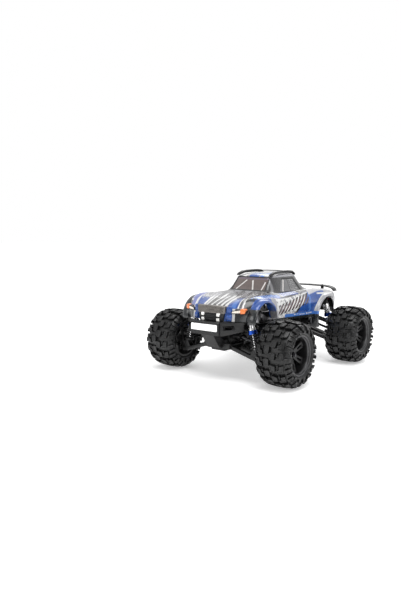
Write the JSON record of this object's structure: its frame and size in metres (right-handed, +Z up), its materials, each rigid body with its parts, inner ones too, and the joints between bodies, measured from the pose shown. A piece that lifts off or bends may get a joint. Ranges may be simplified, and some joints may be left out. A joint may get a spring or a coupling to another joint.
{
  "type": "rc monster truck",
  "caption": "Radio-controlled four-wheel-drive monster truck with pickup shell, big lugged tyres, twin-arm suspension, dampers, steering linkage and centre shaft drive.",
  "frame": {"origin": "on the ground under the middle of the truck", "axes": "+Z up, nose along -Y, left side along +X"},
  "size_m": [0.221, 0.276, 0.1328],
  "materials": {
    "black_plastic": "textured black nylon",
    "arm_plastic": "satin black nylon",
    "rim_plastic": "satin black",
    "tyre_rubber": "matt black rubber",
    "shell_paint": "gloss blue with white, silver and charcoal streaks",
    "trim_plastic": "satin black",
    "lamp_lens": "milky white lens",
    "shock_aluminium": "bright, with blue collar",
    "steel": "plain",
    "spring_steel": "black coated",
    "battery_wrap": "shrink wrap",
    "gear_plastic": "natural nylon",
    "motor_can": "plated"
  },
  "bodies": {
    "chassis": {"chassis_plate": "black_plastic", "front_gearbox": "black_plastic", "rear_gearbox": "black_plastic", "front_shock_tower": "black_plastic", "rear_shock_tower": "black_plastic", "front_bumper": "black_plastic", "light_bar": "lamp_lens", "rear_bumper": "black_plastic", "battery": "battery_wrap", "electronics_box": "trim_plastic", "motor": "motor_can", "steering_servo": "black_plastic"},
    "shell": {"body_shell": "shell_paint", "roof_skid": "trim_plastic", "rear_spoiler": "trim_plastic"},
    "spur": {"spur_gear": "gear_plastic"},
    "pinion": {"pinion_gear": "steel"},
    "servo_arm": {"servo_arm": "black_plastic"},
    "idler_arm": {"idler_arm": "black_plastic"},
    "centre_link": {"centre_link": "black_plastic"},
    "tie_rod_left": {"tie_rod_left": "steel"},
    "tie_rod_right": {"tie_rod_right": "steel"},
    "front_left_lower_arm": {"front_left_lower_arm": "arm_plastic"},
    "front_left_upper_arm": {"front_left_upper_arm": "arm_plastic"},
    "front_left_hub_carrier": {"front_left_hub_carrier": "arm_plastic"},
    "front_left_half_shaft": {"front_left_half_shaft": "steel"},
    "front_left_shock_rod": {"front_left_shock_rod": "steel"},
    "front_left_shock_body": {"front_left_shock_body": "shock_aluminium", "front_left_spring": "spring_steel"},
    "front_left_wheel": {"front_left_rim": "rim_plastic", "front_left_tyre": "tyre_rubber"},
    "front_left_knuckle": {"front_left_knuckle": "arm_plastic"},
    "front_right_lower_arm": {"front_right_lower_arm": "arm_plastic"},
    "front_right_upper_arm": {"front_right_upper_arm": "arm_plastic"},
    "front_right_hub_carrier": {"front_right_hub_carrier": "arm_plastic"},
    "front_right_half_shaft": {"front_right_half_shaft": "steel"},
    "front_right_shock_rod": {"front_right_shock_rod": "steel"},
    "front_right_shock_body": {"front_right_shock_body": "shock_aluminium", "front_right_spring": "spring_steel"},
    "front_right_wheel": {"front_right_rim": "rim_plastic", "front_right_tyre": "tyre_rubber"},
    "front_right_knuckle": {"front_right_knuckle": "arm_plastic"},
    "rear_left_lower_arm": {"rear_left_lower_arm": "arm_plastic"},
    "rear_left_upper_arm": {"rear_left_upper_arm": "arm_plastic"},
    "rear_left_hub_carrier": {"rear_left_hub_carrier": "arm_plastic"},
    "rear_left_half_shaft": {"rear_left_half_shaft": "steel"},
    "rear_left_shock_rod": {"rear_left_shock_rod": "steel"},
    "rear_left_shock_body": {"rear_left_shock_body": "shock_aluminium", "rear_left_spring": "spring_steel"},
    "rear_left_wheel": {"rear_left_rim": "rim_plastic", "rear_left_tyre": "tyre_rubber"},
    "rear_right_lower_arm": {"rear_right_lower_arm": "arm_plastic"},
    "rear_right_upper_arm": {"rear_right_upper_arm": "arm_plastic"},
    "rear_right_hub_carrier": {"rear_right_hub_carrier": "arm_plastic"},
    "rear_right_half_shaft": {"rear_right_half_shaft": "steel"},
    "rear_right_shock_rod": {"rear_right_shock_rod": "steel"},
    "rear_right_shock_body": {"rear_right_shock_body": "shock_aluminium", "rear_right_spring": "spring_steel"},
    "rear_right_wheel": {"rear_right_rim": "rim_plastic", "rear_right_tyre": "tyre_rubber"}
  },
  "joints": [
    {"name": "front_left_suspension", "type": "hinge", "parent": "chassis", "child": "front_left_lower_arm", "pos_m": [0.016, -0.09, 0.042], "axis": [0, -1, 0], "range_deg": [0, 15], "stiffness_Nm_per_rad": 0.5, "springref_deg": -22.92},
    {"name": "front_left_upper_arm_pivot", "type": "hinge", "parent": "chassis", "child": "front_left_upper_arm", "pos_m": [0.018, -0.09, 0.066], "axis": [0, -1, 0], "range_deg": [0, 15]},
    {"name": "front_left_carrier_pivot", "type": "hinge", "parent": "front_left_lower_arm", "child": "front_left_hub_carrier", "pos_m": [0.061, -0.09, 0.029], "axis": [0, -1, 0], "range_deg": [-15, 0]},
    {"name": "front_left_half_shaft_tilt", "type": "hinge", "parent": "chassis", "child": "front_left_half_shaft", "pos_m": [0.027, -0.09, 0.053], "axis": [0, -1, 0], "range_deg": [0, 15]},
    {"name": "front_left_shock_swing", "type": "hinge", "parent": "chassis", "child": "front_left_shock_body", "pos_m": [0.0432, -0.102, 0.084], "axis": [0, -1, 0], "range_deg": [0, 2.57]},
    {"name": "front_left_shock_stroke", "type": "slide", "parent": "front_left_shock_body", "child": "front_left_shock_rod", "axis": [-0.2195, 0, 0.9756], "range_m": [0, 0.00955], "deforming": ["front_left_spring"]},
    {"name": "front_left_steer", "type": "hinge", "parent": "front_left_hub_carrier", "child": "front_left_knuckle", "pos_m": [0.072, -0.09, 0.04], "axis": [0, 0, 1], "range_deg": [-20, 20]},
    {"name": "front_left_wheel_spin", "type": "hinge", "parent": "front_left_knuckle", "child": "front_left_wheel", "pos_m": [0.088, -0.09, 0.04], "axis": [1, 0, 0], "continuous": true},
    {"name": "front_right_suspension", "type": "hinge", "parent": "chassis", "child": "front_right_lower_arm", "pos_m": [-0.016, -0.09, 0.042], "axis": [0, 1, 0], "range_deg": [0, 15], "stiffness_Nm_per_rad": 0.5, "springref_deg": -22.92},
    {"name": "front_right_upper_arm_pivot", "type": "hinge", "parent": "chassis", "child": "front_right_upper_arm", "pos_m": [-0.018, -0.09, 0.066], "axis": [0, 1, 0], "range_deg": [0, 15]},
    {"name": "front_right_carrier_pivot", "type": "hinge", "parent": "front_right_lower_arm", "child": "front_right_hub_carrier", "pos_m": [-0.061, -0.09, 0.029], "axis": [0, 1, 0], "range_deg": [-15, 0]},
    {"name": "front_right_half_shaft_tilt", "type": "hinge", "parent": "chassis", "child": "front_right_half_shaft", "pos_m": [-0.027, -0.09, 0.053], "axis": [0, 1, 0], "range_deg": [0, 15]},
    {"name": "front_right_shock_swing", "type": "hinge", "parent": "chassis", "child": "front_right_shock_body", "pos_m": [-0.0432, -0.102, 0.084], "axis": [0, 1, 0], "range_deg": [0, 2.57]},
    {"name": "front_right_shock_stroke", "type": "slide", "parent": "front_right_shock_body", "child": "front_right_shock_rod", "axis": [0.2195, 0, 0.9756], "range_m": [0, 0.00955], "deforming": ["front_right_spring"]},
    {"name": "front_right_steer", "type": "hinge", "parent": "front_right_hub_carrier", "child": "front_right_knuckle", "pos_m": [-0.072, -0.09, 0.04], "axis": [0, 0, 1], "range_deg": [-20, 20]},
    {"name": "front_right_wheel_spin", "type": "hinge", "parent": "front_right_knuckle", "child": "front_right_wheel", "pos_m": [-0.088, -0.09, 0.04], "axis": [1, 0, 0], "continuous": true},
    {"name": "rear_left_suspension", "type": "hinge", "parent": "chassis", "child": "rear_left_lower_arm", "pos_m": [0.016, 0.09, 0.042], "axis": [0, -1, 0], "range_deg": [0, 15], "stiffness_Nm_per_rad": 0.5, "springref_deg": -22.92},
    {"name": "rear_left_upper_arm_pivot", "type": "hinge", "parent": "chassis", "child": "rear_left_upper_arm", "pos_m": [0.018, 0.09, 0.066], "axis": [0, -1, 0], "range_deg": [0, 15]},
    {"name": "rear_left_carrier_pivot", "type": "hinge", "parent": "rear_left_lower_arm", "child": "rear_left_hub_carrier", "pos_m": [0.061, 0.09, 0.029], "axis": [0, -1, 0], "range_deg": [-15, 0]},
    {"name": "rear_left_half_shaft_tilt", "type": "hinge", "parent": "chassis", "child": "rear_left_half_shaft", "pos_m": [0.027, 0.09, 0.053], "axis": [0, -1, 0], "range_deg": [0, 15]},
    {"name": "rear_left_shock_swing", "type": "hinge", "parent": "chassis", "child": "rear_left_shock_body", "pos_m": [0.0432, 0.102, 0.084], "axis": [0, -1, 0], "range_deg": [0, 2.57]},
    {"name": "rear_left_shock_stroke", "type": "slide", "parent": "rear_left_shock_body", "child": "rear_left_shock_rod", "axis": [-0.2195, 0, 0.9756], "range_m": [0, 0.00955], "deforming": ["rear_left_spring"]},
    {"name": "rear_left_wheel_spin", "type": "hinge", "parent": "rear_left_hub_carrier", "child": "rear_left_wheel", "pos_m": [0.088, 0.09, 0.04], "axis": [1, 0, 0], "continuous": true},
    {"name": "rear_right_suspension", "type": "hinge", "parent": "chassis", "child": "rear_right_lower_arm", "pos_m": [-0.016, 0.09, 0.042], "axis": [0, 1, 0], "range_deg": [0, 15], "stiffness_Nm_per_rad": 0.5, "springref_deg": -22.92},
    {"name": "rear_right_upper_arm_pivot", "type": "hinge", "parent": "chassis", "child": "rear_right_upper_arm", "pos_m": [-0.018, 0.09, 0.066], "axis": [0, 1, 0], "range_deg": [0, 15]},
    {"name": "rear_right_carrier_pivot", "type": "hinge", "parent": "rear_right_lower_arm", "child": "rear_right_hub_carrier", "pos_m": [-0.061, 0.09, 0.029], "axis": [0, 1, 0], "range_deg": [-15, 0]},
    {"name": "rear_right_half_shaft_tilt", "type": "hinge", "parent": "chassis", "child": "rear_right_half_shaft", "pos_m": [-0.027, 0.09, 0.053], "axis": [0, 1, 0], "range_deg": [0, 15]},
    {"name": "rear_right_shock_swing", "type": "hinge", "parent": "chassis", "child": "rear_right_shock_body", "pos_m": [-0.0432, 0.102, 0.084], "axis": [0, 1, 0], "range_deg": [0, 2.57]},
    {"name": "rear_right_shock_stroke", "type": "slide", "parent": "rear_right_shock_body", "child": "rear_right_shock_rod", "axis": [0.2195, 0, 0.9756], "range_m": [0, 0.00955], "deforming": ["rear_right_spring"]},
    {"name": "rear_right_wheel_spin", "type": "hinge", "parent": "rear_right_hub_carrier", "child": "rear_right_wheel", "pos_m": [-0.088, 0.09, 0.04], "axis": [1, 0, 0], "continuous": true},
    {"name": "servo_arm_turn", "type": "hinge", "parent": "chassis", "child": "servo_arm", "pos_m": [0.011, -0.074, 0.06], "axis": [0, 0, 1], "range_deg": [-20, 20]},
    {"name": "idler_arm_turn", "type": "hinge", "parent": "chassis", "child": "idler_arm", "pos_m": [-0.011, -0.074, 0.06], "axis": [0, 0, 1], "range_deg": [-20, 20]},
    {"name": "centre_link_turn", "type": "hinge", "parent": "servo_arm", "child": "centre_link", "pos_m": [0.011, -0.062, 0.063], "axis": [0, 0, 1], "range_deg": [-20, 20]},
    {"name": "tie_rod_left_tilt", "type": "hinge", "parent": "centre_link", "child": "tie_rod_left", "pos_m": [0.027, -0.062, 0.0597], "axis": [0, -1, 0], "range_deg": [0, 15]},
    {"name": "tie_rod_right_tilt", "type": "hinge", "parent": "centre_link", "child": "tie_rod_right", "pos_m": [-0.027, -0.062, 0.0597], "axis": [0, 1, 0], "range_deg": [0, 15]},
    {"name": "centre_shaft_spin", "type": "hinge", "parent": "chassis", "child": "spur", "pos_m": [0, 0, 0.052], "axis": [0, 1, 0], "continuous": true},
    {"name": "motor_pinion_spin", "type": "hinge", "parent": "chassis", "child": "pinion", "pos_m": [-0.01372, 0, 0.05887], "axis": [0, 1, 0], "continuous": true},
    {"name": "body_lift", "type": "slide", "parent": "chassis", "child": "shell", "axis": [0, 0, 1], "range_m": [0, 0.08]}
  ],
  "couplings": [
    {"joint": "front_left_upper_arm_pivot", "follows": "front_left_suspension", "ratio": 1},
    {"joint": "front_left_carrier_pivot", "follows": "front_left_suspension", "ratio": -1},
    {"joint": "front_left_half_shaft_tilt", "follows": "front_left_suspension", "ratio": 1},
    {"joint": "front_left_shock_swing", "follows": "front_left_suspension", "ratio": 0.1708},
    {"joint": "front_left_shock_stroke", "follows": "front_left_suspension", "m_per_rad": 0.0364},
    {"joint": "front_right_upper_arm_pivot", "follows": "front_right_suspension", "ratio": 1},
    {"joint": "front_right_carrier_pivot", "follows": "front_right_suspension", "ratio": -1},
    {"joint": "front_right_half_shaft_tilt", "follows": "front_right_suspension", "ratio": 1},
    {"joint": "front_right_shock_swing", "follows": "front_right_suspension", "ratio": 0.1708},
    {"joint": "front_right_shock_stroke", "follows": "front_right_suspension", "m_per_rad": 0.0364},
    {"joint": "rear_left_upper_arm_pivot", "follows": "rear_left_suspension", "ratio": 1},
    {"joint": "rear_left_carrier_pivot", "follows": "rear_left_suspension", "ratio": -1},
    {"joint": "rear_left_half_shaft_tilt", "follows": "rear_left_suspension", "ratio": 1},
    {"joint": "rear_left_shock_swing", "follows": "rear_left_suspension", "ratio": 0.1708},
    {"joint": "rear_left_shock_stroke", "follows": "rear_left_suspension", "m_per_rad": 0.0364},
    {"joint": "rear_right_upper_arm_pivot", "follows": "rear_right_suspension", "ratio": 1},
    {"joint": "rear_right_carrier_pivot", "follows": "rear_right_suspension", "ratio": -1},
    {"joint": "rear_right_half_shaft_tilt", "follows": "rear_right_suspension", "ratio": 1},
    {"joint": "rear_right_shock_swing", "follows": "rear_right_suspension", "ratio": 0.1708},
    {"joint": "rear_right_shock_stroke", "follows": "rear_right_suspension", "m_per_rad": 0.0364},
    {"joint": "front_right_steer", "follows": "front_left_steer", "ratio": 1},
    {"joint": "servo_arm_turn", "follows": "front_left_steer", "ratio": 1},
    {"joint": "idler_arm_turn", "follows": "front_left_steer", "ratio": 1},
    {"joint": "centre_link_turn", "follows": "front_left_steer", "ratio": -1},
    {"joint": "tie_rod_left_tilt", "follows": "front_left_suspension", "ratio": 1},
    {"joint": "tie_rod_right_tilt", "follows": "front_right_suspension", "ratio": 1},
    {"joint": "front_left_wheel_spin", "follows": "rear_left_wheel_spin", "ratio": 1},
    {"joint": "front_right_wheel_spin", "follows": "rear_left_wheel_spin", "ratio": 1},
    {"joint": "rear_right_wheel_spin", "follows": "rear_left_wheel_spin", "ratio": 1},
    {"joint": "centre_shaft_spin", "follows": "rear_left_wheel_spin", "ratio": 3},
    {"joint": "motor_pinion_spin", "follows": "rear_left_wheel_spin", "ratio": -9}
  ]
}
